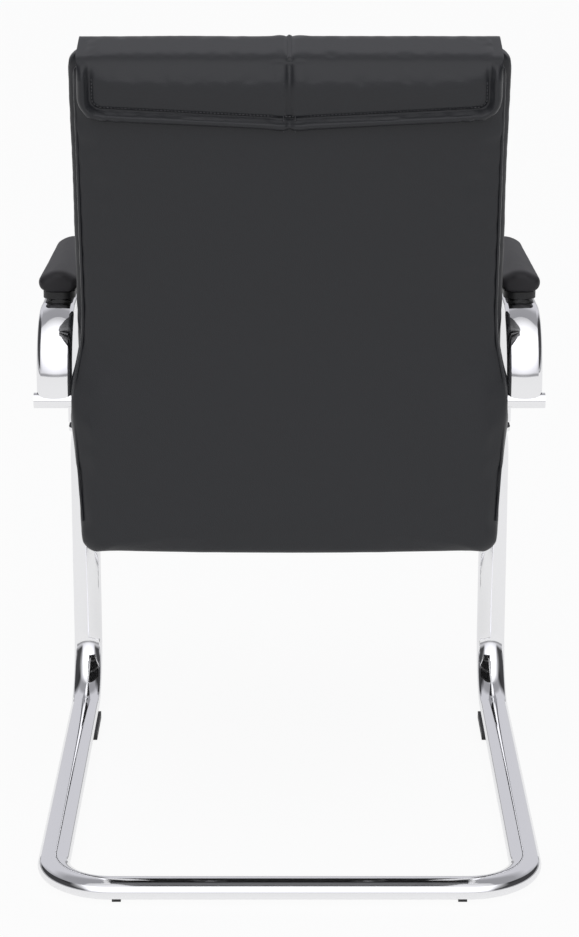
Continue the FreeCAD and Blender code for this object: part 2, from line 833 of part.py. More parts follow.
def soft_pockets():
    """Room in the back's soft pieces for the bar, saddles, braces, bolts and nuts."""
    brace_low = back_foot_z - brace_thick
    brace_tall = brace_top + slip - brace_low
    brace = Part.makeBox(brace_wide + 2 * slip, brace_thick + bolt_head + 2 * slip, brace_tall)
    brace.translate(point(brace_x - brace_wide / 2 - slip, back_foot_y - slip, brace_low))
    saddle_deep = bar_y - back_foot_y + bar_d / 2 + saddle_thick + 3 * slip
    saddle_tall = 2 * (saddle_reach + saddle_flange / 2 + slip)
    saddle_at = point(saddle_x, back_foot_y + saddle_deep / 2 - slip, bar_height)
    saddle = centred_box(saddle_wide + 2 * slip, saddle_deep, saddle_tall, saddle_at)
    nut = forward(Part.makeCylinder(nut_flange_d / 2 + slip, nut_flange + slip))
    nuts = pair(copies(nut.translated(Y * -board_thick), back_bolt_places))
    bar_room = bar_y - back_foot_y + slip
    slot_at = point(0, bar_y - bar_room / 2, bar_height)
    slot = centred_box(2 * bar_half, bar_room, bar_d + 2 * slip, slot_at)
    bar = bar_cylinder(bar_d / 2 + slip, bar_half).fuse(slot)
    return [bar, pair(brace), pair(saddle), nuts]


nodes = {}

# Floor frame
first_screw = front_glide_y + front_glide_screw
last_screw = front_glide_y + front_glide_long - front_glide_screw
glide_screw_places = [point(side_x, y, 0) for y in (first_screw, last_screw)]
glide_bores = copies(glide_bore(), glide_screw_places)
left_frame = frame_bar(0).cut(frame_bar(tube_wall)).cut(stud(stud_d / 2 + slip / 2))
nodes["frame_tube_left"] = left_frame.cut(glide_bores).cut(placed(foot_bores(), seat_frame))
nodes["frame_joint_sleeve"] = make_sleeve()
nodes["rail_plug_left"] = make_rail_plug()
nodes["front_glide_left"] = make_front_glide().cut(glide_bores)
nodes["rear_glide_left"] = make_rear_glide()
nodes["glide_screws"] = pair(copies(screw_body(0), glide_screw_places))

# Seat
nodes["front_seat_strap"] = placed(seat_strap(front_strap_v).cut(seat_bores), seat_frame)
nodes["rear_seat_strap"] = placed(seat_strap(rear_strap_v).cut(seat_bores), seat_frame)
dust_sheet = prism(board_outline(strap_thick, dust_inset), Z * dust_cover)
nodes["seat_dust_cover"] = placed(dust_sheet.cut(seat_bores), seat_frame)
seat_sheet = prism(board_outline(dust_top, 0), Z * board_thick)
nodes["seat_board"] = placed(seat_sheet.cut(seat_bores), seat_frame)
seat_bolt = hex_bolt(board_top + nut_flange)
nodes["seat_bolts"] = placed(pair(copies(seat_bolt, seat_bolt_places)), seat_frame)
seat_nut = flange_nut().translated(Z * board_top)
nodes["seat_nuts"] = placed(pair(copies(seat_nut, seat_bolt_places)), seat_frame)

# Back
panel = make_rear_panel()
cushion = make_back_cushion()
nodes["back_board"] = make_back_board().cut(back_bores)
nodes["rear_panel"] = hollowed(panel, soft_pockets())
nodes["back_cushion"] = hollowed(cushion, soft_pockets())
nodes["headrest_cover"] = make_headrest(panel, cushion)
nodes["back_brace_left"] = make_brace()
nodes["bar_saddle_left"] = make_saddle()
nodes["back_bolts"] = make_back_bolts()
back_nut = forward(flange_nut()).translated(Y * -board_thick)
nodes["back_nuts"] = pair(copies(back_nut, back_bolt_places))

# The seat cushion ends against the front of the back cushion
behind_y = back_foot_y - board_thick - cushion_depth - cushion_crown - slip
behind = centred_box(depth, depth, depth, point(0, behind_y + depth / 2, seat_z))
seat_cushion = placed(make_seat_cushion(), seat_frame)
nodes["seat_cushion"] = hollowed(seat_cushion, [behind, cushion.translated(Y * -slip)])

# Armrests
nodes["rear_bar"] = bar_cylinder(bar_d / 2, bar_half).cut(bar_cylinder(bar_d / 2 - bar_wall, bar_half))
nodes["rear_bar_caps"] = make_bar_caps()
nodes["arm_tube_left"] = make_arm_tube()
nodes["arm_foot_left"] = make_foot_plate()
nodes["arm_tray_left"] = make_tray()
nodes["arm_pad_left"] = make_pad()
nodes["pad_screws"] = pair(make_pad_screws())
nodes["foot_screws"] = pair(make_foot_screws())

for name in [name for name in nodes if name.endswith("_left")]:
    nodes[name.replace("_left", "_right")] = mirrored(nodes[name])

os.makedirs("parts", exist_ok=True)
for name, shape in nodes.items():
    shape.exportStep("parts/" + name + ".step")
    print(name, len(shape.Solids), shape.isValid(), round(shape.Volume))
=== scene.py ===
import bpy
import bmesh
import json
import math
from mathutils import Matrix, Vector, noise


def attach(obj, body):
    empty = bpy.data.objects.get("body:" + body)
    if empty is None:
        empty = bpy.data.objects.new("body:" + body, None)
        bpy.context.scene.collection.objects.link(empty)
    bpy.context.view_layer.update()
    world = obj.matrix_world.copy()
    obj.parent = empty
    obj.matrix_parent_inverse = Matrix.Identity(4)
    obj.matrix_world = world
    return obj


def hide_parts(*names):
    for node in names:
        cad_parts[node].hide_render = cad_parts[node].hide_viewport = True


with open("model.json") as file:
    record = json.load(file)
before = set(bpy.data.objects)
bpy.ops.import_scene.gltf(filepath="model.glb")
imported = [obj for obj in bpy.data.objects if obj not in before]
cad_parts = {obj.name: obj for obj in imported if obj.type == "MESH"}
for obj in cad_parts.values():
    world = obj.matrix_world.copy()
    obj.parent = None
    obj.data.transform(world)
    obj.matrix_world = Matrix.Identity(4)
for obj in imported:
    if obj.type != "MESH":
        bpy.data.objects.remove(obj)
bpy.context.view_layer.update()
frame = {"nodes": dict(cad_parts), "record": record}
nodes = frame["nodes"]
scene = bpy.context.scene

# Sizes in metres, from the solids that the soft pieces stand for.
# Places on the back are u along its bent board, x across it and t behind its rear face.
# Places on the seat are v from the knee to the rear, x across and w above the rails.

# Bent board of the back
back_y = 0.148
back_z = 0.358
back_length = 0.582
bend_start = 0.203
bend_radius = 0.400
lean = math.radians(13)
bend_end = bend_start + bend_radius * lean
board_thick = 0.012

# Rear pad of the back
panel_half = 0.231
panel_low_edge = 0.031
panel_top_edge = 0.016
panel_crown = 0.012
hip_flare = 0.012
hip_up = 0.186
hip_span_above = 0.050
hip_span_below = 0.170

# Front cushion of the back
cushion_half = 0.240
cushion_low = 0.034
cushion_depth = 0.046
cushion_crown = 0.008
lumbar_swell = 0.012
lumbar_up = 0.225
lumbar_span = 0.110
cushion_seams = (0.345, 0.130)

# Headrest cover
flap_half = 0.226
flap_drop = 0.062
flap_bow = 0.012
flap_corner = 0.024
flap_rear = 0.0265
flap_slope = 0.0975
flap_puff = 0.0045
puff_side = 0.030
hem_groove = 0.0135
hem_ridge = 0.0062
cover_top = 0.002
cover_round = 0.020
cover_front_round = 0.030
cover_roll = 0.0065
cover_skin = 0.0012
cover_lie = 0.0008
head_front = -0.078
head_drop = 0.130

# Seat cushion
seat_y = -0.2679
seat_z = 0.3964
seat_slope = math.radians(4)
seat_half = 0.242
seat_front = -0.0768
seat_long = 0.420
seat_crest = 0.072
seat_crown = 0.012
seat_nose = 0.062
seat_tip = 0.034
seat_corner = 0.022
seat_seam = 0.085

# Armrest pads
pad_base = 0.6423

# Sewing
seam_depth = 0.0040
seam_width = 0.005
seam_stitch = 0.006
stitch_spacing = 0.0038
stitch_long = 0.0027
stitch_radius = 0.0005
bead_sides = 6
rear_welt = 0.0014
cushion_welt = 0.0024
seat_welt = 0.0028


# Finishes

def material(name, color, roughness, metallic=0.0, specular=0.5):
    made = bpy.data.materials.new(name)
    made.use_nodes = True
    shader = made.node_tree.nodes["Principled BSDF"]
    shader.inputs["Base Color"].default_value = (*color, 1.0)
    shader.inputs["Roughness"].default_value = roughness
    shader.inputs["Metallic"].default_value = metallic
    shader.inputs["Specular IOR Level"].default_value = specular
    return made


def relief(made, texture, output, scale, strength, distance):
    """Fine surface relief from a procedural texture in object space."""
    tree = made.node_tree
    coords = tree.nodes.new("ShaderNodeTexCoord")
    pattern = tree.nodes.new(texture)
    pattern.inputs["Scale"].default_value = scale
    bump = tree.nodes.new("ShaderNodeBump")
    bump.inputs["Strength"].default_value = strength
    bump.inputs["Distance"].default_value = distance
    tree.links.new(coords.outputs["Object"], pattern.inputs["Vector"])
    tree.links.new(pattern.outputs[output], bump.inputs["Height"])
    tree.links.new(bump.outputs["Normal"], tree.nodes["Principled BSDF"].inputs["Normal"])


chrome = material("chrome", (0.88, 0.88, 0.89), 0.06, metallic=1.0)
leather = material("black_leather", (0.0178, 0.0187, 0.0212), 0.43, specular=0.38)
relief(leather, "ShaderNodeTexVoronoi", "Distance", 700.0, 0.22, 0.0005)
pad_leather = material("arm_pad_leather", (0.024, 0.023, 0.025), 0.52, specular=0.3)
relief(pad_leather, "ShaderNodeTexVoronoi", "Distance", 700.0, 0.22, 0.0005)
thread = material("thread", (0.060, 0.060, 0.064), 0.6)
plastic = material("black_plastic", (0.012, 0.012, 0.012), 0.5)
black_steel = material("black_steel", (0.02, 0.02, 0.02), 0.45)
plywood = material("plywood", (0.040, 0.032, 0.026), 0.7)
relief(plywood, "ShaderNodeTexNoise", "Fac", 60.0, 0.2, 0.0005)
cloth = material("lining_cloth", (0.015, 0.015, 0.015), 0.9, specular=0.2)
relief(cloth, "ShaderNodeTexNoise", "Fac", 1500.0, 0.4, 0.0004)
plated = material("plated_steel", (0.55, 0.55, 0.56), 0.3, metallic=1.0)
finishes = {
    "chrome": chrome,
    "black_leather": leather,
    "arm_pad_leather": pad_leather,
    "black_plastic": plastic,
    "black_steel": black_steel,
    "plywood": plywood,
    "lining_cloth": cloth,
    "plated_steel": plated,
}
for entry in frame["record"]["subparts"]:
    node = nodes[entry["node"]]
    node.data.materials.clear()
    node.data.materials.append(finishes[entry["material_slot"]])


# Curved frames of the back, the headrest and the seat

def back_point(u, x, t):
    """Point at a height along the back, across it and behind the board's rear face."""
    turn = min(lean, max(0.0, u - bend_start) / bend_radius)
    rest = max(0.0, u - bend_end)
    y = back_y + bend_radius * (1 - math.cos(turn)) + rest * math.sin(turn)
    z = back_z + min(u, bend_start) + bend_radius * math.sin(turn) + rest * math.cos(turn)
    return Vector((x, y + t * math.cos(turn), z - t * math.sin(turn)))


def back_coords(p):
    """Height along the back and depth behind the board's rear face of a point."""
    high = p.z - back_z - bend_start
    across = back_y + bend_radius - p.y
    turn = math.atan2(high, across)
    if turn <= 0:
        return p.z - back_z, p.y - back_y
    if turn < lean:
        return bend_start + bend_radius * turn, bend_radius - math.hypot(high, across)
    y = p.y - back_y - bend_radius * (1 - math.cos(lean))
    z = high - bend_radius * math.sin(lean)
    rest = y * math.sin(lean) + z * math.cos(lean)
    return bend_end + rest, y * math.cos(lean) - z * math.sin(lean)


def panel_half_at(u):
    """Half width of the rear pad, which flares at the hips."""
    span = hip_span_above if u > hip_up else hip_span_below
    return panel_half + hip_flare * dent(u - hip_up, span)


def panel_edge_at(u):
    """Depth of the rear pad's border, which thins towards the top."""
    share = max(0.0, (u - bend_start) / (back_length - bend_start))
    return panel_low_edge - (panel_low_edge - panel_top_edge) * share


def cushion_front_at(u):
    """Thickness of the front cushion's border, which swells at the loins."""
    return cushion_depth + lumbar_swell * dent(u - lumbar_up, lumbar_span)


def flap_rear_at(down):
    """Depth of the headrest flap's rear face at a distance below the top of the back."""
    return flap_rear + (down + cover_top) * flap_slope


def seat_point(x, v, w):
    y = seat_y + v * math.cos(seat_slope) + w * math.sin(seat_slope)
    z = seat_z - v * math.sin(seat_slope) + w * math.cos(seat_slope)
    return Vector((x, y, z))


def seat_coords(p):
    y = p.y - seat_y
    z = p.z - seat_z
    v = y * math.cos(seat_slope) - z * math.sin(seat_slope)
    w = y * math.sin(seat_slope) + z * math.cos(seat_slope)
    return v, w


def crowned(x, half):
    """Share of a crown across a piece: one in the middle and none at its sides."""
    return 1 - (x / half) ** 2


def end_round(gap, radius):
    """How far an edge of a given radius draws back at a gap from its end."""
    short = min(1.0, max(0.0, 1 - gap / radius))
    return radius * (1 - math.sqrt(1 - short * short))


def dent(distance, width):
    """Smooth bump of height one that fades over its width."""
    return math.exp(-((distance / width) ** 2))


def mound(x, u, place, spans):
    """Smooth bump about a place, mirrored left to right, with its own span each way."""
    return dent(math.hypot((abs(x) - place[0]) / spans[0], (u - place[1]) / spans[1]), 1.0)


def clamped(value):
    return min(1.0, max(0.0, value))


# Making soft pieces

def keep(obj):
    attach(obj, "root")


def modified(obj, kind, **settings):
    """Add a modifier, apply it and keep the mesh it makes."""
    modifier = obj.modifiers.new(kind.lower(), kind)
    for name, value in settings.items():
        setattr(modifier, name, value)
    bpy.context.view_layer.objects.active = obj
    bpy.ops.object.modifier_apply(modifier=modifier.name)


def swell(obj, pinned, cap):
    """Cloth under inner pressure, with the pinned points held and every move capped."""
    frames = 20
    held = obj.vertex_groups.new(name="held")
    held.add([v.index for v in obj.data.vertices if pinned(v.co)], 1.0, "REPLACE")
    rest = [v.co.copy() for v in obj.data.vertices]
    modifier = obj.modifiers.new("cloth", "CLOTH")
    settings = modifier.settings
    settings.quality = 4
    settings.mass = 0.4
    settings.tension_stiffness = 12.0
    settings.compression_stiffness = 6.0
    settings.bending_stiffness = 0.6
    settings.use_pressure = True
    settings.uniform_pressure_force = 4.0
    settings.shrink_min = -0.015
    settings.vertex_group_mass = "held"
    settings.effector_weights.gravity = 0.0
    modifier.point_cache.frame_start = 1
    modifier.point_cache.frame_end = frames
    for number in range(1, frames + 1):
        scene.frame_set(number)
    shaped = obj.evaluated_get(bpy.context.evaluated_depsgraph_get())
    moved = [v.co.copy() for v in shaped.data.vertices]
    obj.modifiers.remove(modifier)
    scene.frame_set(1)
    for vertex, start, end in zip(obj.data.vertices, rest, moved):
        step = end - start
        vertex.co = start + step * min(1.0, cap / max(step.length, 1e-9))


def soft(node_name, name, mesh, pinned, shape, cap, finish=leather):
    """Padded piece in place of a solid: swollen by cloth up to a cap, refined and sewn."""
    obj = bpy.data.objects.new(name, mesh)
    scene.collection.objects.link(obj)
    if cap:
        swell(obj, pinned, cap)
        modified(obj, "SMOOTH", factor=0.5, iterations=2)
    modified(obj, "SUBSURF", levels=1)
    normals = [v.normal.copy() for v in obj.data.vertices]
    for vertex, normal in zip(obj.data.vertices, normals):
        vertex.co = vertex.co + normal * shape(vertex.co, normal)
    obj.data.polygons.foreach_set("use_smooth", [True] * len(obj.data.polygons))
    obj.data.materials.clear()
    obj.data.materials.append(finish)
    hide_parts(node_name)
    keep(obj)


def drawn_in(node_name, voxel, inset, sides, rounds, pinned):
    """Even mesh of a solid, softened, drawn in except where it is pinned, and let out at its sides."""
    obj = bpy.data.objects.new("draft", nodes[node_name].data.copy())
    scene.collection.objects.link(obj)
    modified(obj, "REMESH", mode="VOXEL", voxel_size=voxel)
    modified(obj, "SMOOTH", factor=0.5, iterations=rounds)
    normals = [v.normal.copy() for v in obj.data.vertices]
    for vertex, normal in zip(obj.data.vertices, normals):
        if not pinned(vertex.co):
            vertex.co = vertex.co - normal * inset
        vertex.co.x += sides * normal.x
    mesh = obj.data.copy()
    bpy.data.objects.remove(obj)
    return mesh


def mirrored(points):
    return [Vector((-p.x, p.y, p.z)) for p in points]


def tube(name, points, radius):
    """Leather welt or piping along a row of points."""
    curve = bpy.data.curves.new(name, "CURVE")
    curve.dimensions = "3D"
    curve.bevel_depth = radius
    curve.bevel_resolution = 3
    curve.use_fill_caps = True
    spline = curve.splines.new("POLY")
    spline.points.add(len(points) - 1)
    for dot, place in zip(spline.points, points):
        dot.co = (*place, 1.0)
    spline.use_smooth = True
    obj = bpy.data.objects.new(name, curve)
    scene.collection.objects.link(obj)
    curve.materials.append(leather)
    keep(obj)


def both_sides(name, row, radius):
    """A welt along a row on the left and its mirror on the right."""
    tube(name + "_left", row, radius)
    tube(name + "_right", mirrored(row), radius)


def resampled(points, spacing):
    """Points at an even spacing along a row of points, with the direction at each."""
    made = []
    carry = 0.0
    for start, end in zip(points, points[1:]):
        length = (end - start).length
        along = carry
        while along < length:
            made.append((start.lerp(end, along / length), (end - start).normalized()))
            along += spacing
        carry = along - length
    return made


def bead(verts, faces, place, along):
    """One stitch: a small tapered bead along a direction."""
    side = along.cross(Vector((0.3, 0.9, 0.2))).normalized()
    up = along.cross(side)
    first = len(verts)
    rings = ((-0.5, 0.3), (-0.3, 1.0), (0.3, 1.0), (0.5, 0.3))
    for step, size in rings:
        for corner in range(bead_sides):
            angle = 2 * math.pi * corner / bead_sides
            ring = side * math.cos(angle) + up * math.sin(angle)
            verts.append(place + along * (step * stitch_long) + ring * (size * stitch_radius))
    for r in range(len(rings) - 1):
        for i in range(bead_sides):
            a = first + bead_sides * r + i
            b = first + bead_sides * r + (i + 1) % bead_sides
            faces.append((a, b, b + bead_sides, a + bead_sides))
    last = first + bead_sides * (len(rings) - 1)
    faces.append(tuple(first + i for i in reversed(range(bead_sides))))
    faces.append(tuple(last + i for i in range(bead_sides)))


def stitches(name, rows):
    """Thread stitches along rows of points."""
    verts = []
    faces = []
    for points in rows:
        for place, along in resampled(points, stitch_spacing):
            bead(verts, faces, place, along)
    mesh = bpy.data.meshes.new(name)
    mesh.from_pydata(verts, [], faces)
    obj = bpy.data.objects.new(name, mesh)
    scene.collection.objects.link(obj)
    mesh.materials.append(thread)
    keep(obj)


# Rear pad of the back

def panel_pinned(p):
    u, t = back_coords(p)
    return t < 0.012


def panel_shape(p, normal):
    """Fuller hips, a drawn waist, a hanging foot and a slight wave."""
    u, t = back_coords(p)
    if t < 0.010:
        return 0.0
    rim = min(panel_half_at(u) - abs(p.x), u, back_length - u)
    hip = 0.0045 * mound(p.x, u, (0.200, 0.133), (0.040, 0.060))
    waist = 0.0020 * mound(p.x, u, (0.195, 0.243), (0.030, 0.050))
    wave = 0.0010 * noise.noise(Vector((p.x * 7, u * 9, 1.7)))
    hang = 0.0035 * dent(u, 0.020) * max(0.0, -normal.z) * crowned(p.x, panel_half)
    flare = 0.0042 * dent(u - 0.176, 0.042) * abs(normal.x)
    return (hip - waist + wave) * clamped(rim / 0.020) + hang + flare


def panel_side():
    """Side border of the rear pad, from above its foot to under the top."""
    row = []
    for i in range(61):
        u = 0.040 + (back_length - 0.060) * i / 60
        row.append(back_point(u, panel_half_at(u) - 0.0020, panel_edge_at(u) - 0.0060))
    return row


panel_mesh = drawn_in("rear_panel", 0.006, 0.0, 0.0025, 5, panel_pinned)
soft("rear_panel", "rear_panel_soft", panel_mesh, panel_pinned, panel_shape, 0.003)
both_sides("rear_panel_welt", panel_side(), rear_welt)


# Front cushion of the back

def cushion_pinned(p):
    u, t = back_coords(p)
    return t > -board_thick - 0.010


def cushion_shape(p, normal):
    """Two seams across the front and a slight wave."""
    u, t = back_coords(p)
    if t > -board_thick - 0.006:
        return 0.0
    seam = 0.0
    if -board_thick - t > cushion_depth * 0.7:
        seam = seam_depth * sum(dent(u - height, seam_width) for height in cushion_seams)
    wave = 0.0010 * noise.noise(Vector((p.x * 8, u * 8, 4.1)))
    return wave - seam


def cushion_side():
    """Front side border of the cushion, from above its foot to under the top."""
    inset = 0.0058
    row = []
    for i in range(51):
        u = cushion_low + 0.060 + (back_length - cushion_low - 0.082) * i / 50
        row.append(back_point(u, cushion_half - inset, -board_thick - cushion_front_at(u) + inset))
    return row


def back_joint():
    """Middle of the joint between the two pads of the back, which the piping fills."""
    row = []
    for i in range(61):
        u = cushion_low + 0.004 + (back_length - cushion_low - 0.016) * i / 60
        row.append(back_point(u, panel_half_at(u) - 0.0085, -board_thick / 2))
    return row


def cushion_row(u):
    """Row across the cushion's front, just under its face."""
    half = 0.215
    row = []
    for i in range(41):
        x = half * (i / 20 - 1)
        deep = cushion_front_at(u) + cushion_crown * crowned(x, cushion_half) - 0.0012
        row.append(back_point(u, x, -board_thick - deep))
    return row


cushion_mesh = drawn_in("back_cushion", 0.007, 0.0005, 0.0030, 5, cushion_pinned)
soft("back_cushion", "back_cushion_soft", cushion_mesh, cushion_pinned, cushion_shape, 0.003)
both_sides("cushion_welt", cushion_side(), cushion_welt)
both_sides("back_piping", back_joint(), board_thick / 2)
seam_rows = [cushion_row(u + gap) for u in cushion_seams for gap in (-seam_stitch, seam_stitch)]
stitches("cushion_stitches", seam_rows)


# Headrest cover

def flap_low_at(x):
    """Distance of the flap's bowed lower edge below the top of the back, without its corners."""
    return flap_drop + flap_bow * (1 - abs(x) / flap_half)


def hem_at(x):
    """Distance of the flap's lower edge below the top of the back."""
    return flap_low_at(x) - end_round(flap_half - abs(x), flap_corner)


def flap_rim(x, down):
    """Distance of a place on the flap from its border."""
    side = flap_half - abs(x)
    low = flap_low_at(x) - down
    if side < flap_corner and low < flap_corner:
        return flap_corner - math.hypot(flap_corner - side, flap_corner - low)
    return min(side, low)


def puff_at(x, down):
    """Swell of the flap between its top and its hem."""
    share = clamped(down / (hem_at(x) - hem_groove))
    side = clamped((flap_half - hem_groove - abs(x)) / puff_side)
    return flap_puff * side * math.sin(math.pi * share) ** 2


def flap_point(x, down, lift):
    """Point on the swollen rear face of the flap, lifted off it."""
    return back_point(back_length - down, x, flap_rear_at(down) + puff_at(x, down) + lift)


def spread(low, high, fine, coarse, zone):
    """Places from low to high, close together within a zone at both ends."""
    places = [low]
    while places[-1] < high:
        near = min(places[-1] - low, high - places[-1])
        places.append(places[-1] + (fine if near < zone else coarse))
    last = places[-1]
    return [low + (place - low) * (high - low) / (last - low) for place in places]


def cover_profile(x):
    """Outer side profile of the cover at x: depth, height over the top, outward direction and rim."""
    rows = []
    top = cover_round - cover_top
    hem = hem_at(x)
    for share in spread(0.0, 1.0, 0.025, 0.05, 0.2):
        down = hem + (top - hem) * share
        rows.append((flap_rear_at(down), -down, 1.0, 0.0, flap_rim(x, down)))
    side = flap_half - abs(x)
    rear = flap_rear_at(top) - cover_round
    for i in range(1, 9):
        turn = math.pi * i / 16
        c = math.cos(turn)
        n = math.sin(turn)
        rows.append((rear + cover_round * c, cover_round * (n - 1) + cover_top, c, n, side))
    front = head_front + cover_front_round
    for i in range(1, 13):
        rows.append((rear + (front - rear) * i / 12, cover_top, 0.0, 1.0, side))
    for i in range(1, 11):
        turn = math.pi / 2 + math.pi * i / 20
        c = math.cos(turn)
        n = math.sin(turn)
        rows.append((front + cover_front_round * c, cover_front_round * (n - 1) + cover_top, c, n, side))
    start = cover_front_round - cover_top
    for share in spread(0.0, 1.0, 0.02, 0.05, 0.15)[1:]:
        down = start + (head_drop - start) * share
        rows.append((head_front, -down, -1.0, 0.0, min(side, head_drop - down)))
    return rows


def cover_inner(x, t, high):
    """Place on the cover's inner side, on the rear pad and the cushion, across from an outer place."""
    u = back_length + high
    swelling = panel_crown * math.sin(math.pi * min(u, back_length) / back_length)
    rear = panel_edge_at(u) + swelling * crowned(x, panel_half) + cover_lie
    front = -board_thick - cushion_depth - cushion_crown * crowned(x, cushion_half) - cover_lie
    if t > 0:
        deep = max(min(t - cover_skin, rear), front)
    else:
        deep = min(max(t + cover_skin, front), rear)
    return deep, min(high, 0.0005)


def make_cover():
    """Closed shell of the cover with a rolled edge all round."""
    columns = spread(-flap_half, flap_half, 0.0014, 0.0042, 0.012)
    outer = []
    inner = []
    for x in columns:
        for t, high, out, up, rim in cover_profile(x):
            t_in, high_in = cover_inner(x, t, high)
            thick = abs(t - t_in) * abs(out) + abs(high - high_in) * up
            roll = end_round(rim, cover_roll) / cover_roll * thick * 0.5
            wide = 1 + 0.012 * (1 - max(0.0, out))
            outer.append(back_point(back_length + high - roll * up, x * wide, t - roll * out))
            roll_in = roll * 0.9
            inner.append(back_point(back_length + high_in + roll_in * up, x, t_in + roll_in * out))
    count = len(columns)
    rows = len(outer) // count
    shift = len(outer)
    faces = []
    for i in range(count - 1):
        for j in range(rows - 1):
            a = i * rows + j
            b = a + rows
            faces.append((a, b, b + 1, a + 1))
            faces.append((shift + a, shift + a + 1, shift + b + 1, shift + b))
    for i in range(count - 1):
        for j in (0, rows - 1):
            a = i * rows + j
            b = a + rows
            faces.append((a, b, shift + b, shift + a))
    for j in range(rows - 1):
        for i in (0, count - 1):
            a = i * rows + j
            faces.append((a, a + 1, shift + a + 1, shift + a))
    mesh = bpy.data.meshes.new("cover")
    mesh.from_pydata(outer + inner, [], faces)
    shell = bmesh.new()
    shell.from_mesh(mesh)
    bmesh.ops.recalc_face_normals(shell, faces=shell.faces)
    shell.to_mesh(mesh)
    shell.free()
    return mesh


def cover_pinned(p):
    u, t = back_coords(p)
    down = back_length - u
    behind = t > -0.02
    t_in, high_in = cover_inner(p.x, 1.0 if behind else -1.0, -down)
    rim = flap_rim(p.x, down) if t > 0 else min(flap_half - abs(p.x), head_drop - down)
    inside = t < t_in + 0.003 if behind else t > t_in - 0.003
    return rim < 0.010 or (inside and down > -0.001)


def cover_shape(p, normal):
    """Centre seam, swollen flap, and the groove and ridge of its hem."""
    u, t = back_coords(p)
    down = back_length - u
    face = t > panel_edge_at(u) + 0.004
    over = down < 0.0 or face
    rise = 0.0006 * noise.noise(Vector((p.x * 9, down * 14, 7.3)))
    if over:
        rise += 0.0010 * dent(abs(p.x) - 0.011, 0.008) - 0.0026 * dent(p.x, 0.0030)
    if face:
        rim = flap_rim(p.x, down)
        pucker = 0.0008 * mound(p.x, down, (0.205, 0.064), (0.030, 0.020)) * math.sin(p.x * 420)
        hem = 0.0048 * dent(rim - hem_ridge, 0.0044) - 0.0036 * dent(rim - hem_groove, 0.0028)
        rise += pucker + puff_at(p.x, down) + hem * clamped(down / 0.018)
    return rise if rise < 0 or over else rise * 0.5


def flap_row(inset, lift):
    """Row along the flap's sides and lower edge, at an inset from its border."""
    half = flap_half - inset
    corner = flap_corner - inset
    low = flap_drop - inset
    start = cover_round - cover_top
    right = [(half, start + (low - corner - start) * i / 9) for i in range(10)]
    for i in range(1, 10):
        turn = math.pi * i / 20
        right.append((half - corner + corner * math.cos(turn), low - corner + corner * math.sin(turn)))
    for i in range(20):
        x = (half - corner) * (1 - i / 20)
        right.append((x, flap_low_at(x) - inset))
    row = right + [(-x, down) for x, down in reversed(right)]
    return [flap_point(x, down, lift) for x, down in row]


def centre_row(x):
    """Row up the flap beside its centre seam."""
    return [flap_point(x, 0.073 - 0.055 * i / 24, 0.0010) for i in range(25)]


soft("headrest_cover", "headrest_soft", make_cover(), cover_pinned, cover_shape, 0.0012)
headrest_rows = [flap_row(hem_groove + 0.0026, -0.0002), centre_row(-0.0062), centre_row(0.0062)]
stitches("headrest_stitches", headrest_rows)


# Seat cushion

def seat_pinned(p):
    v, w = seat_coords(p)
    return w < 0.024


def seat_shape(p, normal):
    """Fuller rear corners, a seam across the top and a slight wave."""
    v, w = seat_coords(p)
    corner = 0.0080 * dent(v - 0.325, 0.035) * dent(w - 0.016, 0.016) * abs(normal.x)
    if w < 0.028:
        return corner
    top = max(0.0, normal.z) ** 2
    wave = 0.0012 * noise.noise(Vector((p.x * 8, v * 8, 9.2)))
    seam = seam_depth * dent(v - seat_seam, seam_width)
    return (wave - seam) * top + corner


def seat_border():
    """Upper border of the seat, from its rear right corner round the front to the left."""
    inset = 0.0064
    start = 0.002
    right = []
    for i in range(41):
        v = seat_front + start + (seat_long - start) * (i / 40) ** 2
        fall = end_round(v - seat_front, seat_nose) / seat_nose
        crest = seat_crest - (seat_crest - seat_tip) * fall
        half = seat_half - end_round(v - seat_front + 0.0003, seat_corner)
        right.append(seat_point(half - inset, v, crest - inset))
    return list(reversed(right)) + mirrored(right)


def seat_row(v):
    """Row across the seat, just under its top."""
    half = 0.212
    row = []
    for i in range(41):
        x = half * (i / 20 - 1)
        row.append(seat_point(x, v, seat_crest + seat_crown * crowned(x, seat_half) - 0.0010))
    return row


seat_mesh = drawn_in("seat_cushion", 0.007, 0.001, 0.0, 6, seat_pinned)
soft("seat_cushion", "seat_soft", seat_mesh, seat_pinned, seat_shape, 0.0035)
tube("seat_welt", seat_border(), seat_welt)
stitches("seat_stitches", [seat_row(seat_seam - seam_stitch), seat_row(seat_seam + seam_stitch)])


# Armrest pads, too small to swell by cloth

def pad_pinned(p):
    return p.z < pad_base + 0.003


def pad_shape(p, normal):
    if p.z < pad_base + 0.002:
        return 0.0
    return 0.0005 * noise.noise(Vector((p.x * 14, p.y * 10, 3.3)))


for side in ("left", "right"):
    node_name = "arm_pad_" + side
    name = "arm_pad_soft_" + side
    pad_mesh = drawn_in(node_name, 0.0035, 0.0, 0.0015, 3, pad_pinned)
    soft(node_name, name, pad_mesh, pad_pinned, pad_shape, 0.0, pad_leather)


# Stage

def ray_share(tree, shares):
    """Largest share among the kinds of ray that apply, else zero."""
    path = tree.nodes.new("ShaderNodeLightPath")
    chain = None
    for kind, level in shares.items():
        part = tree.nodes.new("ShaderNodeMath")
        part.operation = "MULTIPLY"
        part.inputs[1].default_value = level
        tree.links.new(path.outputs[kind], part.inputs[0])
        if chain is None:
            chain = part.outputs[0]
            continue
        either = tree.nodes.new("ShaderNodeMath")
        either.operation = "MAXIMUM"
        tree.links.new(chain, either.inputs[0])
        tree.links.new(part.outputs[0], either.inputs[1])
        chain = either.outputs[0]
    return chain


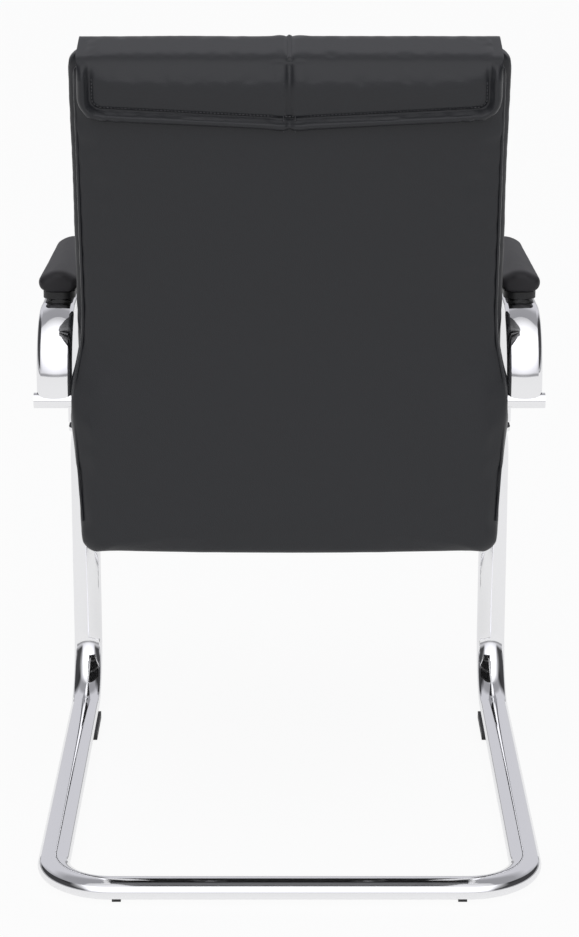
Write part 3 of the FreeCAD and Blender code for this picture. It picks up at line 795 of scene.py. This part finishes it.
def mixed(tree, share, first, second):
    """Shader between two others."""
    mix = tree.nodes.new("ShaderNodeMixShader")
    tree.links.new(share, mix.inputs[0])
    tree.links.new(first, mix.inputs[1])
    tree.links.new(second, mix.inputs[2])
    return mix.outputs[0]


def make_floor():
    """Plain pale floor that keeps the chair's shadow and shows pale in the chrome."""
    bpy.ops.mesh.primitive_plane_add(size=60, location=(0, 0, -0.0005))
    floor = bpy.context.object
    floor.name = "floor"
    finish = material("floor", (0.9, 0.9, 0.9), 0.9, specular=0.1)
    tree = finish.node_tree
    seen = ray_share(tree, {"Is Camera Ray": 0.93, "Is Glossy Ray": 0.75, "Is Transmission Ray": 0.75})
    glow = tree.nodes.new("ShaderNodeEmission")
    glow.inputs["Color"].default_value = (1.0, 1.0, 1.0, 1.0)
    glow.inputs["Strength"].default_value = 1.0
    surface = mixed(tree, seen, tree.nodes["Principled BSDF"].outputs[0], glow.outputs[0])
    tree.links.new(surface, tree.nodes["Material Output"].inputs["Surface"])
    floor.data.materials.append(finish)


def level_ramp(tree, value, low, levels):
    """Grey levels along a direction's component, from low to one."""
    blue = 1.02
    span = tree.nodes.new("ShaderNodeMapRange")
    span.inputs["From Min"].default_value = low
    span.inputs["From Max"].default_value = 1.0
    ramp = tree.nodes.new("ShaderNodeValToRGB")
    for place, level in levels[2:]:
        ramp.color_ramp.elements.new(place)
    for element, (place, level) in zip(ramp.color_ramp.elements, levels):
        element.position = place
        element.color = (level, level, level * blue, 1.0)
    tree.links.new(value, span.inputs["Value"])
    tree.links.new(span.outputs["Result"], ramp.inputs["Fac"])
    return ramp.outputs["Color"]


def multiplied(tree, first, second, share=None):
    """One colour times another, by a share where one is given."""
    node = tree.nodes.new("ShaderNodeMix")
    node.data_type = "RGBA"
    node.blend_type = "MULTIPLY"
    node.inputs[0].default_value = 1.0
    if share is not None:
        tree.links.new(share, node.inputs[0])
    tree.links.new(first, node.inputs[6])
    tree.links.new(second, node.inputs[7])
    return node.outputs[2]


def studio_color(tree, direction):
    """Light studio with a soft horizon, greyer overhead, dark far to the sides and dimmer ahead."""
    split = tree.nodes.new("ShaderNodeSeparateXYZ")
    tree.links.new(direction, split.inputs[0])
    side = tree.nodes.new("ShaderNodeMath")
    side.operation = "ABSOLUTE"
    tree.links.new(split.outputs["X"], side.inputs[0])
    below = [(0.0, 0.8), (0.49, 0.8)]
    horizon = [(0.505, 0.40), (0.52, 0.40)]
    sky = [(0.545, 0.92), (0.80, 0.92), (0.88, 0.50), (1.0, 0.45)]
    upward = level_ramp(tree, split.outputs["Z"], -1.0, below + horizon + sky)
    sideways = level_ramp(tree, side.outputs[0], 0.0, [(0.0, 1.0), (0.52, 1.0), (0.66, 0.08), (1.0, 0.08)])
    raised = level_ramp(tree, split.outputs["Z"], 0.0, [(0.0, 0.0), (0.06, 0.0), (0.18, 1.0), (1.0, 1.0)])
    ahead = level_ramp(tree, split.outputs["Y"], -1.0, [(0.0, 0.84), (0.35, 0.84), (0.60, 1.0), (1.0, 1.0)])
    return multiplied(tree, multiplied(tree, upward, sideways, raised), ahead)


def patch_color(tree, direction):
    """Soft bright patch high up behind the chair, which draws the swell of the leather."""
    aim = tree.nodes.new("ShaderNodeVectorMath")
    aim.operation = "DOT_PRODUCT"
    aim.inputs[1].default_value = Vector((0.0, 0.61, 0.79)).normalized()
    tree.links.new(direction, aim.inputs[0])
    return level_ramp(tree, aim.outputs["Value"], 0.0, [(0.0, 0.0), (0.60, 0.0), (0.92, 1.0), (1.0, 1.0)])


def background(tree, strength, color=None):
    """World light of a strength, white unless a colour is given."""
    node = tree.nodes.new("ShaderNodeBackground")
    node.inputs["Color"].default_value = (1.0, 1.0, 1.0, 1.0)
    node.inputs["Strength"].default_value = strength
    if color is not None:
        tree.links.new(color, node.inputs["Color"])
    return node.outputs[0]


def make_world():
    """Studio and bright patch as light, behind a plain white that only the camera sees."""
    world = bpy.data.worlds.new("studio")
    scene.world = world
    world.use_nodes = True
    tree = world.node_tree
    tree.nodes.clear()
    direction = tree.nodes.new("ShaderNodeTexCoord").outputs["Generated"]
    lit = tree.nodes.new("ShaderNodeAddShader")
    tree.links.new(background(tree, 0.85, studio_color(tree, direction)), lit.inputs[0])
    tree.links.new(background(tree, 0.75, patch_color(tree, direction)), lit.inputs[1])
    seen = ray_share(tree, {"Is Camera Ray": 1.0})
    output = tree.nodes.new("ShaderNodeOutputWorld")
    tree.links.new(mixed(tree, seen, lit.outputs[0], background(tree, 0.975)), output.inputs["Surface"])


def softbox(name, place, target, size, power):
    data = bpy.data.lights.new(name, "AREA")
    data.shape = "DISK"
    data.size = size
    data.energy = power
    lamp = bpy.data.objects.new(name, data)
    lamp.location = place
    lamp.rotation_euler = (Vector(target) - Vector(place)).to_track_quat("-Z", "Y").to_euler()
    scene.collection.objects.link(lamp)


def make_camera():
    """Camera of the photograph, with its focal length and height in pixels."""
    focal = 2735.0
    picture_high = 937.0
    sensor = 36.0
    data = bpy.data.cameras.new("camera")
    data.lens = focal / picture_high * sensor
    camera = bpy.data.objects.new("camera", data)
    camera.location = (0.0, 3.144, 1.306)
    camera.rotation_euler = (math.radians(74.1), 0.0, math.radians(180.0))
    scene.collection.objects.link(camera)
    scene.camera = camera


make_floor()
make_world()
softbox("top_light", (0.0, 1.1, 3.2), (0.0, 0.3, 0.6), 4.4, 14.0)
make_camera()
scene.view_settings.view_transform = "Standard"
